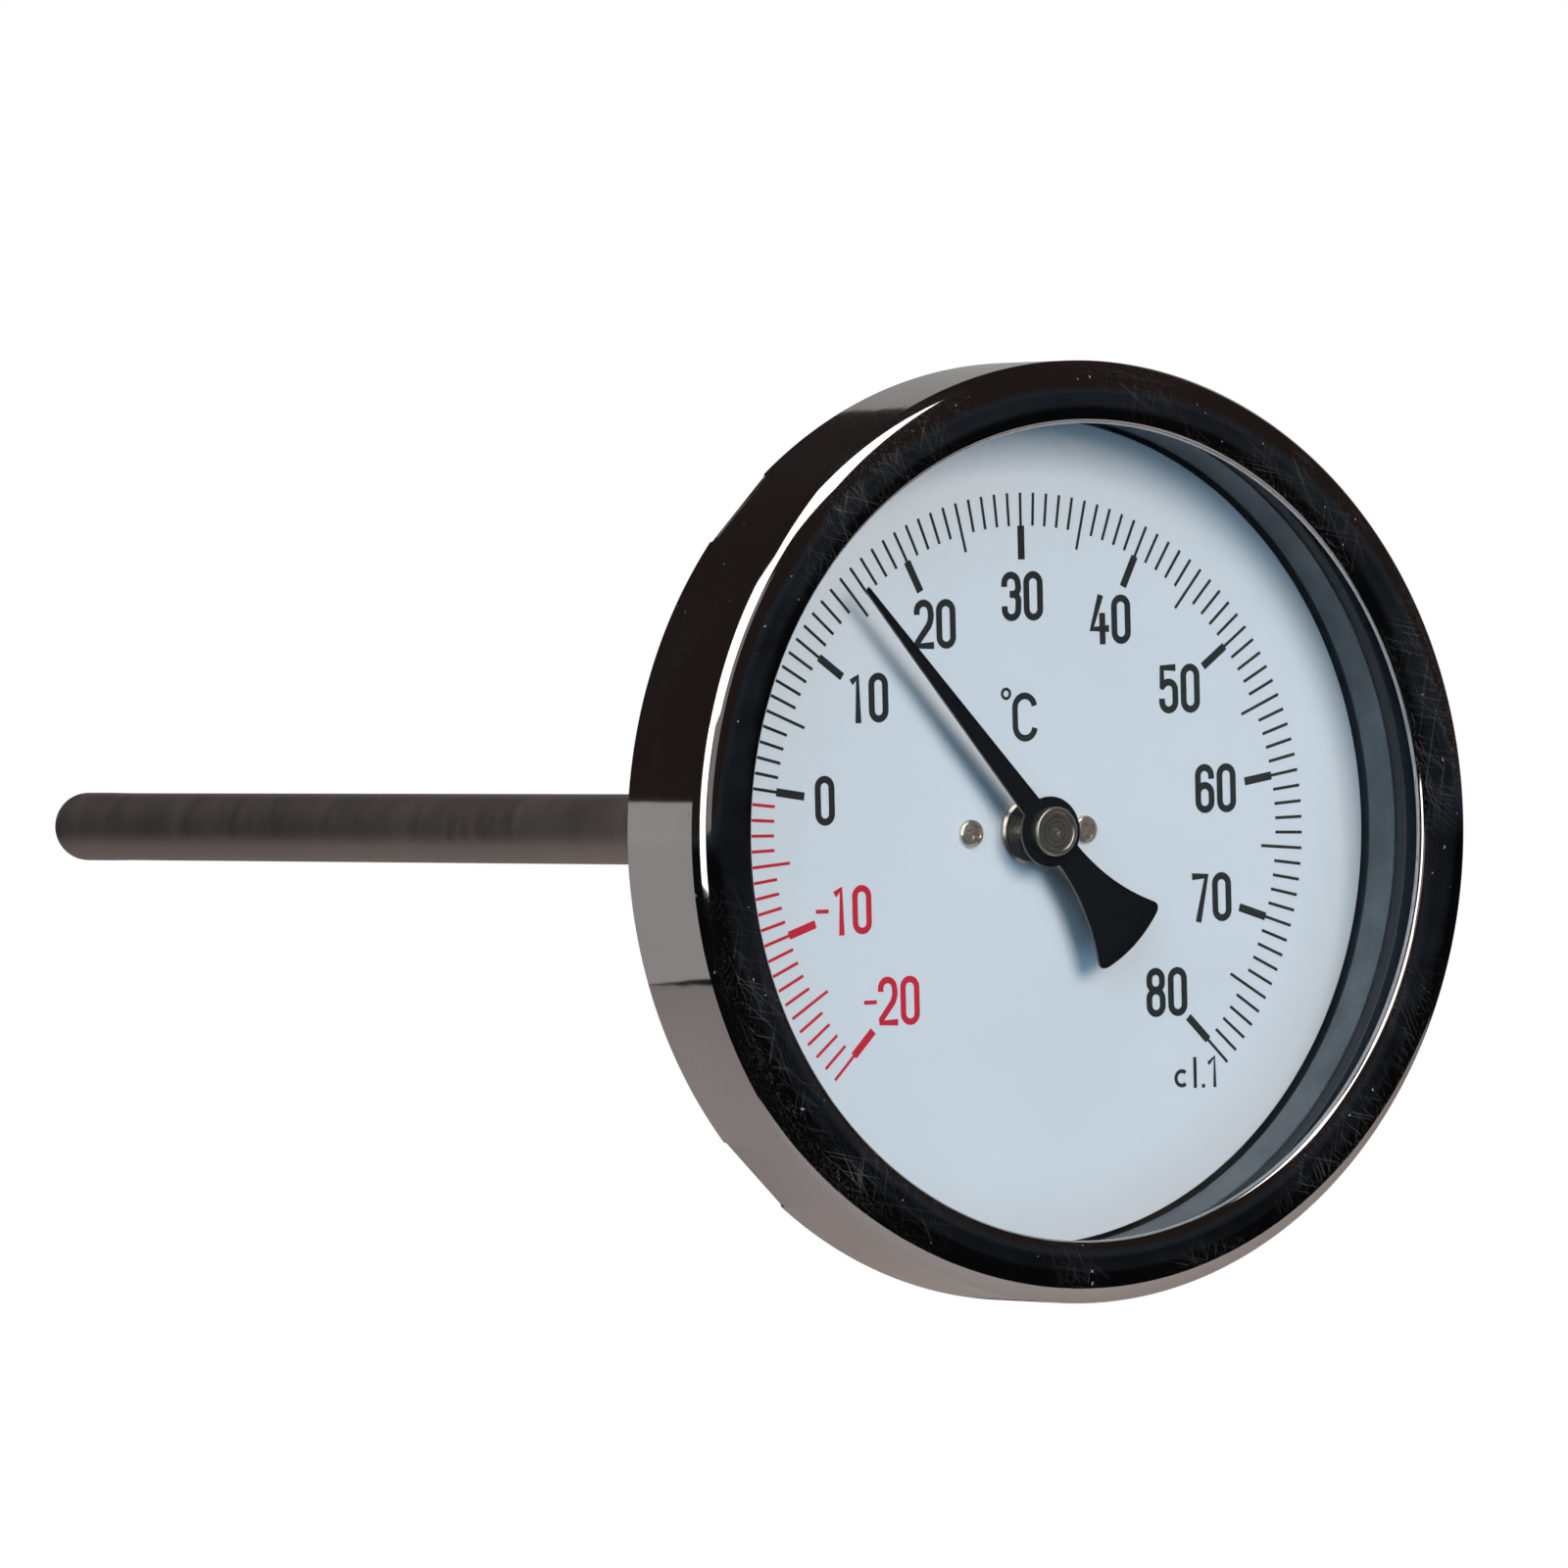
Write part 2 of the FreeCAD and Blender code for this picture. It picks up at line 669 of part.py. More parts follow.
def build_centre_bush():
    """The plated bush in the middle of the dial. Its bore is the spindle's front bearing."""
    spigot = "Sizes.BushSpigot / 2"
    rim = "Sizes.BushDiameter / 2"
    turned(
        "centre_bush",
        (
            ("Levels.SpindleBore", "Levels.BossFront"),
            ("Sizes.BushBossDiameter / 2", "Levels.BossFront"),
            ("Sizes.BushBossDiameter / 2", "Levels.BushFront"),
            (f"{rim} - Sizes.BushChamfer", "Levels.BushFront"),
            (rim, "Levels.BushFront + Sizes.BushChamfer"),
            (rim, "Levels.DialFront"),
            (spigot, "Levels.DialFront"),
            (spigot, "Levels.HeadFront"),
            ("Levels.SpindleBore", "Levels.HeadFront"),
        ),
    )


def build_pointer():
    """A flat sheet pointer: a tapered needle, a round boss and a flared tail."""
    body = start_body("pointer")
    turn = "Levels.RestAngle"
    back = "Levels.PointerBack"
    needle = face_sketch(body, back, turn)
    root, tip = "Sizes.PointerRoot", "Sizes.PointerTip"
    reach = "Sizes.PointerReach"
    draw(needle, ((root, "0"), (tip, reach), (f"-{tip}", reach), (f"-{root}", "0")))
    grow(body, needle, "Sizes.PointerSheet")
    tail = face_sketch(body, back, turn)
    neck, flare = "Sizes.TailNeck / 2", "Sizes.TailWidth / 2"
    neck_level = "-Sizes.TailRoot"
    end_level = "-sqrt(Sizes.TailReach ^ 2 - (Sizes.TailWidth / 2) ^ 2)"
    draw(
        tail,
        (
            (f"-{neck}", neck_level),
            (f"-{flare}", end_level, "Sizes.TailFlank", -1),
            (flare, end_level, "Sizes.TailReach", 1),
            (neck, neck_level, "Sizes.TailFlank", -1),
        ),
    )
    grow(body, tail, "Sizes.PointerSheet")
    corners = [
        f"Edge{index}"
        for index, edge in enumerate(body.Shape.Edges, start=1)
        if is_tail_corner(edge)
    ]
    sharp = body.Tip
    fillet = body.newObject("PartDesign::Fillet", "pointer_fillet")
    fillet.Base = (sharp, corners)
    fillet.Radius = number("Sizes.TailCorner")
    fillet.setExpression("Radius", "Sizes.TailCorner")
    doc.recompute()
    boss = face_sketch(body, back, turn)
    draw_circle(boss, "0", "0", "Sizes.PointerBoss")
    grow(body, boss, "Sizes.PointerSheet")
    hole = face_sketch(body, back, turn)
    draw_circle(hole, "0", "0", "Sizes.HubSpigot / 2")
    cut(body, hole, "Sizes.PointerSheet")


def is_tail_corner(edge):
    """True for the two edges through the sheet where the tail's flanks meet its end."""
    ends = [vertex.Point for vertex in edge.Vertexes]
    if len(ends) != 2 or abs(ends[0].y - ends[1].y) < number("Sizes.PointerSheet") * 0.9:
        return False
    from_axis = math.hypot(ends[0].x, ends[0].z)
    return abs(from_axis - number("Sizes.TailReach")) < 0.1


def build_hub():
    """The turned cap on the pointer, riveted over behind it and bored for the spindle."""
    rim = "Sizes.HubDiameter / 2"
    spigot = "Sizes.HubSpigot / 2"
    bore = "Sizes.SpindleDiameter / 2"
    turned(
        "pointer_hub",
        (
            ("0", "Levels.HubFront + Sizes.HubDimple"),
            ("Sizes.HubDimple", "Levels.HubFront"),
            (f"{rim} - Sizes.HubChamfer", "Levels.HubFront"),
            (rim, "Levels.HubFront + Sizes.HubChamfer"),
            (rim, "Levels.PointerFront"),
            (spigot, "Levels.PointerFront"),
            (spigot, "Levels.PointerBack"),
            ("Sizes.HubRivet / 2", "Levels.PointerBack"),
            ("Sizes.HubRivet / 2", "Levels.HubBack"),
            (bore, "Levels.HubBack"),
            (bore, "Levels.HubFront + Sizes.HubCore"),
            ("0", "Levels.HubFront + Sizes.HubCore"),
        ),
    )


def build_spindle():
    """The long thin rod from the hub to the collar in the coil."""
    radius = "Sizes.SpindleDiameter / 2"
    front = "Levels.HubFront + Sizes.HubCore"
    back = "Levels.CollarEnd"
    turned("spindle", (("0", front), (radius, front), (radius, back), ("0", back)))


def build_coil():
    """The bimetal strip, wound as a helix, with the collar and the anchor at its two ends."""
    bore = "Sizes.SpindleDiameter / 2"
    ring("coil_collar", bore, "Levels.CollarRadius", "Sizes.CollarStart", "Levels.CollarEnd")
    body = start_body("bimetal_coil")
    sketch = start_sketch(body, "XY_Plane")
    outer = "Levels.CoilBore + Sizes.CoilSheet"
    low, high = "Levels.CoilStart", "Levels.CoilStart + Sizes.CoilWidth"
    draw(sketch, rectangle("Levels.CoilBore", outer, low, high))
    helix = body.newObject("PartDesign::AdditiveHelix", "bimetal_coil_helix")
    helix.Profile = sketch
    helix.ReferenceAxis = (sketch, ["V_Axis"])
    helix.Mode = "pitch-height-angle"
    helix.Pitch = number("Sizes.CoilPitch")
    helix.Height = number("Sizes.CoilPitch * Sizes.CoilTurns")
    helix.setExpression("Pitch", "Sizes.CoilPitch")
    helix.setExpression("Height", "Sizes.CoilPitch * Sizes.CoilTurns")
    doc.recompute()
    shoulder = "Levels.AnchorFront"
    nub_end = f"{shoulder} - Sizes.AnchorNub"
    wall = "Levels.BoreRadius - Sizes.GuideGap"
    nub = "Levels.CollarRadius"
    turned(
        "coil_anchor",
        (
            ("0", nub_end),
            (nub, nub_end),
            (nub, shoulder),
            (wall, shoulder),
            (wall, f"{shoulder} + Sizes.AnchorLength"),
            ("0", f"{shoulder} + Sizes.AnchorLength"),
        ),
    )


def build_guides():
    """Two bushes in the stem that keep the long spindle straight."""
    wall = "Levels.BoreRadius - Sizes.GuideGap"
    upper = "Sizes.UpperGuide"
    lower = "Sizes.LowerGuide"
    for name, place in (("upper_guide", upper), ("lower_guide", lower)):
        ring(name, "Levels.SpindleBore", wall, place, f"{place} + Sizes.GuideLength")


# ---------------------------------------------------------------- build, check and write


def main():
    build_stem()
    build_stem_head()
    build_neck_rings()
    build_lock_nut()
    build_case()
    build_bezel()
    build_window()
    build_spacer()
    build_dial()
    build_bracket()
    build_pillars()
    build_screws()
    build_centre_bush()
    build_pointer()
    build_hub()
    build_spindle()
    build_coil()
    build_guides()
    doc.recompute()
    for thing in doc.Objects:
        faults = [state for state in thing.State if state in ("Invalid", "Error")]
        if faults:
            raise RuntimeError(f"{thing.Name} is {faults}")
    for piece in pieces:
        if piece.Shape.isNull() or not piece.Shape.isValid():
            raise RuntimeError(f"{piece.Label} has no valid shape")
    os.makedirs("parts", exist_ok=True)
    for piece in pieces:
        piece.Shape.exportStep(f"parts/{piece.Label}.step")
        print(piece.Label, len(piece.Shape.Solids), round(piece.Shape.Volume, 3))


main()
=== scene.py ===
import math

import bpy
from mathutils import Matrix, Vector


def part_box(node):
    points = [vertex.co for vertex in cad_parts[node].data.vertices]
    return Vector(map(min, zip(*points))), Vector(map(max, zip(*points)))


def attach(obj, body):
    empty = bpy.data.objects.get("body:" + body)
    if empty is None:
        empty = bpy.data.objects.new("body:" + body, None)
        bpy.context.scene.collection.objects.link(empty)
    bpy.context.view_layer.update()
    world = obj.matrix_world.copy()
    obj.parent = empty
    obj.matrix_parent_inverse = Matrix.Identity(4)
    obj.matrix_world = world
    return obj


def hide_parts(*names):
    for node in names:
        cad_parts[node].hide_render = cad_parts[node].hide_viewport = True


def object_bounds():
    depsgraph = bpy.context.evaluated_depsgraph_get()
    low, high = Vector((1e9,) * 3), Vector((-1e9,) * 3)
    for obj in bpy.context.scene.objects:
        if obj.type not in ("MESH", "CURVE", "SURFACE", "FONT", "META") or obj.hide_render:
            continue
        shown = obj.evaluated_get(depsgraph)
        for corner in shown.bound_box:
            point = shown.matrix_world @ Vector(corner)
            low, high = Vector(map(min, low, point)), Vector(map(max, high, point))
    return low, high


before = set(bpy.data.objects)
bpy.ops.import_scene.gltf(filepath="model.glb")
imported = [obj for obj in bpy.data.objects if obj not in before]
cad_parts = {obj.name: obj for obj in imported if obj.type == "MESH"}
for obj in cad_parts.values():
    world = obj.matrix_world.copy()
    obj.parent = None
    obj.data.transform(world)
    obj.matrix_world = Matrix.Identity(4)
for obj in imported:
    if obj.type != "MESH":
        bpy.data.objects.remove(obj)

cad_box = [list(corner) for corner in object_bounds()]

MM = 0.001

# The reading at rest, the reading at the top of the dial, and the turn for each degree of it.
READING = 14.8
TOP_OF_SCALE = 30
TURN_PER_DEGREE = 2.7

# The thickness of the print, in millimetres.
INK = 0.02


# ---------------------------------------------------------------- shapes


def reach(node):
    """A node's outer radius, front plane and back plane, in millimetres."""
    low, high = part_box(node)
    return high[0] / MM, low[1] / MM, high[1] / MM


def finish_mesh(piece, name, sharp=32):
    """Closes seams, points the faces outwards and smooths everything under the sharp angle."""
    piece.name = name
    bpy.ops.object.mode_set(mode="EDIT")
    bpy.ops.mesh.select_all(action="SELECT")
    bpy.ops.mesh.remove_doubles(threshold=0.001 * MM)
    bpy.ops.mesh.normals_make_consistent(inside=False)
    bpy.ops.object.mode_set(mode="OBJECT")
    bpy.ops.object.shade_smooth_by_angle(angle=math.radians(sharp))
    return piece


def bend(across, place, radius, start, stop, steps=8):
    """Points round an arc, from one angle to another, in degrees."""
    turns = [math.radians(start + (stop - start) * k / steps) for k in range(steps + 1)]
    return [(across + radius * math.cos(t), place + radius * math.sin(t)) for t in turns]


def turned(name, outline, steps=256, sharp=32):
    """A turned piece: a ring drawn out edge by edge round a closed outline of (radius, place)."""
    bpy.ops.object.select_all(action="DESELECT")
    smallest = 0.0002
    outline = [(max(radius, smallest) * MM, place * MM) for radius, place in outline]
    radius, place = outline[0]
    bpy.ops.mesh.primitive_circle_add(
        vertices=steps,
        radius=radius,
        location=(0, place, 0),
        rotation=(math.radians(90), 0, 0),
    )
    piece = bpy.context.object
    bpy.ops.object.transform_apply(location=True, rotation=True, scale=True)
    bpy.ops.object.mode_set(mode="EDIT")
    bpy.ops.mesh.select_all(action="SELECT")
    for next_radius, next_place in outline[1:] + outline[:1]:
        move = (0, next_place - place, 0)
        bpy.ops.mesh.extrude_region_move(TRANSFORM_OT_translate={"value": move})
        growth = next_radius / radius
        centre = (0, next_place, 0)
        bpy.ops.transform.resize(value=(growth, 1, growth), center_override=centre)
        radius, place = next_radius, next_place
    bpy.ops.object.mode_set(mode="OBJECT")
    return finish_mesh(piece, name, sharp)


def cut_sheet(name, outline, front, sheet, edge):
    """A flat piece cut from sheet to an outline of (across, up), with a fine rounded edge."""
    bpy.ops.object.select_all(action="DESELECT")
    bpy.ops.curve.primitive_bezier_curve_add()
    piece = bpy.context.object
    curve = piece.data
    curve.splines.clear()
    spline = curve.splines.new("POLY")
    spline.points.add(len(outline) - 1)
    for point, (across, up) in zip(spline.points, outline):
        point.co = (across * MM, up * MM, 0, 1)
    spline.use_cyclic_u = True
    curve.dimensions = "2D"
    curve.fill_mode = "BOTH"
    curve.extrude = (sheet / 2 - edge) * MM
    curve.bevel_depth = edge * MM
    curve.bevel_resolution = 2
    curve.offset = -edge * MM
    bpy.ops.object.convert(target="MESH")
    piece.rotation_euler = (math.radians(90), 0, 0)
    piece.location = (0, (front + sheet / 2) * MM, 0)
    bpy.ops.object.transform_apply(location=True, rotation=True, scale=True)
    return finish_mesh(piece, name)


def inked(name, strokes, width, level):
    """Printed lines at a level: each stroke is (points, closed, weight), a flat bead of ink."""
    bpy.ops.object.select_all(action="DESELECT")
    bpy.ops.curve.primitive_bezier_curve_add()
    piece = bpy.context.object
    curve = piece.data
    curve.splines.clear()
    curve.dimensions = "3D"
    for points, closed, weight in strokes:
        spline = curve.splines.new("POLY")
        spline.points.add(len(points) - 1)
        for point, (across, up) in zip(spline.points, points):
            point.co = (across * MM, level * MM, up * MM, 1)
            point.radius = weight
        spline.use_cyclic_u = closed
    curve.bevel_depth = width / 2 * MM
    curve.bevel_resolution = 2
    curve.use_fill_caps = True
    bpy.ops.object.convert(target="MESH")
    bpy.ops.object.transform_apply(location=True, rotation=True, scale=True)
    bpy.ops.object.mode_set(mode="EDIT")
    bpy.ops.mesh.select_all(action="SELECT")
    flatten = (1, INK / width, 1)
    bpy.ops.transform.resize(value=flatten, center_override=(0, level * MM, 0))
    bpy.ops.object.mode_set(mode="OBJECT")
    return finish_mesh(piece, name)


def block(size, ease, segments):
    """A block at the origin with eased edges, by its millimetres across, deep and up."""
    bpy.ops.object.select_all(action="DESELECT")
    bpy.ops.mesh.primitive_cube_add(size=1)
    piece = bpy.context.object
    bpy.ops.object.mode_set(mode="EDIT")
    bpy.ops.transform.resize(value=[length * MM for length in size])
    bpy.ops.mesh.bevel(offset=ease * MM, segments=segments)
    bpy.ops.object.mode_set(mode="OBJECT")
    return piece


def shift(piece, across, deep, up):
    """Moves a piece's mesh by millimetres."""
    piece.data.transform(Matrix.Translation((across * MM, deep * MM, up * MM)))


def spin(piece, angle, axis="Y"):
    """Turns a piece's mesh by degrees, round the stem's axis unless another is given."""
    piece.data.transform(Matrix.Rotation(math.radians(angle), 4, axis))


def copy_of(model):
    """A copy of a piece with a mesh of its own."""
    piece = model.copy()
    piece.data = model.data.copy()
    bpy.context.collection.objects.link(piece)
    return piece


def cut_away(piece, tool):
    """Takes the tool's shape out of the piece."""
    bpy.ops.object.select_all(action="DESELECT")
    piece.select_set(True)
    bpy.context.view_layer.objects.active = piece
    cut = piece.modifiers.new("cut", "BOOLEAN")
    cut.operation = "DIFFERENCE"
    cut.object = tool
    bpy.ops.object.modifier_apply(modifier="cut")
    bpy.data.objects.remove(tool)


def joined(pieces, name):
    """Several meshes made one piece."""
    bpy.ops.object.select_all(action="DESELECT")
    for piece in pieces:
        piece.select_set(True)
    bpy.context.view_layer.objects.active = pieces[0]
    bpy.ops.object.join()
    pieces[0].name = name
    return pieces[0]


# ---------------------------------------------------------------- finishes


class Amount:
    """A number that varies over a surface; sums and products of it add shader nodes."""

    def __init__(self, finish, socket):
        self.finish = finish
        self.socket = socket

    def worked(self, operation, first, second):
        node = self.finish.node("ShaderNodeMath", {"operation": operation}, {0: first, 1: second})
        return Amount(self.finish, node.outputs[0])

    def __add__(self, other):
        return self.worked("ADD", self, other)

    __radd__ = __add__

    def __mul__(self, other):
        return self.worked("MULTIPLY", self, other)

    def __sub__(self, other):
        return self.worked("SUBTRACT", self, other)

    def __rsub__(self, other):
        return self.worked("SUBTRACT", other, self)

    def __gt__(self, other):
        return self.worked("GREATER_THAN", self, other)

    def between(self, low, high):
        """0 below the low value, 1 above the high one and even in between."""
        sockets = {"Value": self, "From Min": low, "From Max": high}
        return Amount(self.finish, self.finish.node("ShaderNodeMapRange", None, sockets).outputs[0])


class Finish:
    """A surface finish on the piece's own coordinates."""

    def __init__(self, name):
        self.material = bpy.data.materials.new(name)
        self.material.use_nodes = True
        self.tree = self.material.node_tree
        self.surface = self.tree.nodes["Principled BSDF"]
        self.places = self.node("ShaderNodeTexCoord").outputs["Object"]

    def node(self, kind, settings=None, sockets=None):
        node = self.tree.nodes.new(kind)
        for setting, value in (settings or {}).items():
            setattr(node, setting, value)
        for socket, value in (sockets or {}).items():
            self.feed(node.inputs[socket], value)
        return node

    def feed(self, socket, value):
        """Links a socket to a varying value, or sets it to a plain one."""
        if isinstance(value, Amount):
            value = value.socket
        if isinstance(value, bpy.types.NodeSocket):
            self.tree.links.new(value, socket)
        else:
            socket.default_value = value

    def grain(self, scale, stretch=(1, 1, 1), turn=0, detail=3):
        """Soft random variation from 0 to 1, turned about the stem's axis and then stretched."""
        aim = self.node(
            "ShaderNodeMapping",
            None,
            {"Vector": self.places, "Rotation": (0, math.radians(turn), 0)},
        )
        spread = self.node(
            "ShaderNodeMapping",
            None,
            {"Vector": aim.outputs[0], "Scale": stretch},
        )
        noise = self.node(
            "ShaderNodeTexNoise",
            None,
            {"Vector": spread.outputs[0], "Scale": scale, "Detail": detail},
        )
        return Amount(self, noise.outputs[0])

    def rings(self, spacing):
        """Concentric turning marks round the stem's axis, from 0 to 1, by their spacing."""
        spacing_at_scale_one = 0.314
        marks = self.node(
            "ShaderNodeTexWave",
            {"wave_type": "RINGS", "rings_direction": "Y"},
            {
                "Vector": self.places,
                "Scale": spacing_at_scale_one / spacing / MM,
                "Distortion": 0.6,
            },
        )
        return Amount(self, marks.outputs["Fac"])

    def tint(self, amount, dark, light):
        """A colour between two, by an amount."""
        blend = self.node(
            "ShaderNodeMix",
            {"data_type": "RGBA"},
            {"Factor": amount, 6: (*dark, 1), 7: (*light, 1)},
        )
        return blend.outputs[2]

    def relief(self, height, depth):
        """Fine relief of a depth in millimetres."""
        bump = self.node("ShaderNodeBump", None, {"Height": height, "Distance": depth * MM})
        self.feed(self.surface.inputs["Normal"], bump.outputs[0])

    def set(self, **values):
        """Feeds the surface's own sockets."""
        for socket, value in values.items():
            self.feed(self.surface.inputs[socket.replace("_", " ")], value)
        return self


def scratches(finish):
    """Hairline wiping marks in four directions, strongest where the plate is worn."""
    marks = None
    for turn in (-12, -38, -67, -101):
        hairs = finish.grain(9000, stretch=(0.012, 1, 1), turn=turn, detail=0).between(0.68, 0.80)
        marks = hairs if marks is None else marks + hairs
    worn = finish.grain(60, detail=2).between(0.46, 0.64)
    return marks * worn


def make_plate():
    """Polished nickel plate with wiping marks and specks of dust."""
    plate = Finish("polished_nickel_plate")
    marks = scratches(plate)
    cloud = plate.grain(45)
    dust = plate.grain(1700, detail=0) > 0.875
    plate.set(
        Base_Color=plate.tint(cloud, (0.43, 0.40, 0.39), (0.53, 0.51, 0.50)),
        Metallic=1.0 - dust * 0.4 - marks * 0.09,
        Roughness=0.035 + cloud * 0.04 + marks * 0.08 + dust * 0.3,
    )
    plate.relief(cloud, 0.09)
    return plate.material


def make_turned_nickel(name, dark, light, rough, metallic=1.0, spacing=0.22, depth=0.004):
    """Turned and nickel plated, with fine rings round the axis."""
    nickel = Finish(name)
    marks = nickel.rings(spacing)
    cloud = nickel.grain(700)
    nickel.set(
        Base_Color=nickel.tint(cloud * 0.5 + marks * 0.5, dark, light),
        Metallic=metallic,
        Roughness=rough + marks * 0.08 + cloud * 0.06,
    )
    nickel.relief(marks + cloud * 0.4, depth)
    return nickel.material


def make_metal(name, dark, light, rough, scale, stretch, depth=0.004):
    """A drawn, ground or rolled metal with its grain stretched one way."""
    metal = Finish(name)
    grain = metal.grain(scale, stretch=stretch)
    cloud = metal.grain(60)
    metal.set(
        Base_Color=metal.tint(grain * 0.6 + cloud * 0.4, dark, light),
        Metallic=1.0,
        Roughness=rough + grain * 0.16 + cloud * 0.06,
    )
    metal.relief(grain, depth)
    return metal.material


def make_soft(name, dark, light, rough, scale, depth, gloss=0.5, patches=40):
    """Rubber, enamel, lacquer or ink: a skin with a fine grain and softly mottled patches."""
    skin = Finish(name)
    grain = skin.grain(scale)
    cloud = skin.grain(patches).between(0.3, 0.7)
    skin.set(
        Base_Color=skin.tint(cloud * 0.7 + grain * 0.3, dark, light),
        Metallic=0.0,
        Specular_IOR_Level=gloss,
        Roughness=rough + grain * 0.12,
    )
    skin.relief(grain, depth)
    return skin.material


def make_glass():
    """Clear window glass with a few faint smears."""
    glass = Finish("window_glass")
    smear = glass.grain(38, stretch=(1, 1, 0.5))
    glass.set(
        Base_Color=glass.tint(smear, (0.010, 0.013, 0.015), (0.022, 0.027, 0.030)),
        Roughness=0.02 + smear * 0.03,
        Alpha=0.04 + smear * 0.03,
    )
    return glass.material


plate = make_plate()
case_steel = make_metal(
    "case_zinc_plate", (0.42, 0.42, 0.43), (0.66, 0.66, 0.67), 0.22, 260, (1, 0.2, 1)
)
stem_steel = make_metal(
    "ground_stem_steel", (0.31, 0.275, 0.255), (0.43, 0.385, 0.355), 0.42, 500, (0.25, 1, 0.25), 0.006
)
hub_nickel = make_turned_nickel(
    "hub_nickel", (0.28, 0.265, 0.235), (0.66, 0.62, 0.55), 0.26, 0.92, spacing=0.55, depth=0.014
)
bush_nickel = make_turned_nickel("bush_nickel", (0.42, 0.38, 0.32), (0.62, 0.57, 0.49), 0.16, 0.85)
screw_nickel = make_turned_nickel("screw_nickel", (0.62, 0.57, 0.48), (0.84, 0.78, 0.68), 0.13, 0.84)
plated_steel = make_metal(
    "fastener_zinc_plate", (0.46, 0.46, 0.47), (0.70, 0.70, 0.71), 0.20, 700, (1, 1, 1)
)
brass = make_metal("turned_brass", (0.50, 0.36, 0.13), (0.72, 0.55, 0.25), 0.24, 600, (1, 0.15, 1))
spindle_steel = make_metal(
    "drawn_spindle_steel", (0.36, 0.36, 0.37), (0.55, 0.55, 0.56), 0.18, 900, (1, 0.05, 1)
)
bimetal = make_metal(
    "rolled_bimetal", (0.40, 0.36, 0.31), (0.62, 0.57, 0.50), 0.28, 800, (1, 0.3, 1)
)
rubber = make_soft("black_seal_rubber", (0.011, 0.015, 0.020), (0.018, 0.024, 0.031), 0.55, 1400, 0.02)
# A lighter copy of the seal rubber: painted light that brightens the gasket's front faces where the
# lip's shadow falls on them.
painted_light_rubber = make_soft(
    "painted_light_seal_rubber", (0.026, 0.034, 0.044), (0.038, 0.048, 0.060), 0.5, 1400, 0.01
)
ring_paint = make_soft(
    "grey_ring_paint", (0.065, 0.077, 0.085), (0.165, 0.185, 0.20), 0.34, 1200, 0.006, patches=150
)
enamel = make_soft("dial_enamel", (0.575, 0.66, 0.735), (0.615, 0.70, 0.77), 0.38, 1500, 0.003)
black_ink = make_soft("black_scale_ink", (0.014, 0.017, 0.018), (0.024, 0.028, 0.030), 0.50, 1800, 0.002)
red_ink = make_soft("red_scale_ink", (0.46, 0.012, 0.032), (0.56, 0.020, 0.045), 0.45, 1800, 0.002)
lacquer = make_soft(
    "pointer_lacquer", (0.002, 0.002, 0.003), (0.006, 0.006, 0.007), 0.66, 1600, 0.008, gloss=0.16
)
cut_edge = make_metal("pointer_cut_edge", (0.05, 0.05, 0.05), (0.22, 0.22, 0.21), 0.32, 900, (1, 1, 1))
glass = make_glass()


def place_piece(piece, material, slot, body, *nodes):
    """Gives a piece its finish, the body that it rides on and the nodes that it stands for."""
    piece.data.materials.clear()
    piece.data.materials.append(material)
    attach(piece, body)
    if nodes:
        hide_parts(*nodes)
    return piece


# ---------------------------------------------------------------- bezel


def press_flats(bezel, radius, back):
    """Presses four shallow flats into the rear edge of the skirt, with a tilted block."""
    width, height, thick = 10.4, 7, 2
    tilt = -11
    depth = 0.5
    for turn in (45, 135, 225, 315):
        press = block((width, height, thick), 0.4, 4)
        shift(press, 0, 0, thick / 2)
        spin(press, tilt, "X")
        shift(press, 0, back, radius - depth)
        spin(press, turn)
        cut_away(bezel, press)


def make_bezel():
    """The drawn bezel: skirt, rounded shoulder, slightly dished face and rolled lip."""
    radius, front, back = reach("bezel")
    inside_the_box = 0.002
    radius -= inside_the_box
    glass_front = reach("window")[1]
    sheet = 0.7
    shoulder_width = 2.6
    shoulder_radius = 2.73
    lip = 45.2
    lip_roll = 0.84
    dish = 0.04
    top = radius - shoulder_width
    roll = front + lip_roll + dish
    slant = lip_roll * math.sqrt(0.5)
    run = glass_front - roll - slant
    inside = lip_roll - sheet
    edge = 0.15
    outline = bend(top, front + shoulder_radius, shoulder_radius, -17.7, -90, 14)
    outline += [(top - 1.0, front + dish * 0.3), (top - 2.2, front + dish * 0.75)]
    outline += bend(lip, roll, lip_roll, -91, -225, 16)
    outline += [(lip - slant + run, glass_front)]
    outline += [(lip - slant + run + sheet * math.sqrt(2), glass_front)]
    outline += bend(lip, roll, inside, -225, -90, 6)
    outline += bend(top, front + shoulder_radius, shoulder_radius - sheet * 1.05, -90, -20, 8)
    outline += [(radius - sheet, back), (radius - edge, back), (radius, back - edge)]
    bezel = turned("bezel_ring", outline, steps=384, sharp=20)
    press_flats(bezel, radius, back)
    finish_mesh(bezel, "bezel_ring", 20)
    return place_piece(bezel, plate, "bezel_metal", "housing", "bezel")


# ---------------------------------------------------------------- glass, gasket, ring and case


def make_window():
    """The flat glass, with eased edges."""
    radius, front, back = reach("window")
    ease = 0.1
    outline = [(0, front), (radius - ease, front), (radius, front + ease)]
    outline += [(radius, back - ease), (radius - ease, back), (0, back)]
    window = turned("window_glass_disc", outline)
    return place_piece(window, glass, "glass", "housing", "window")


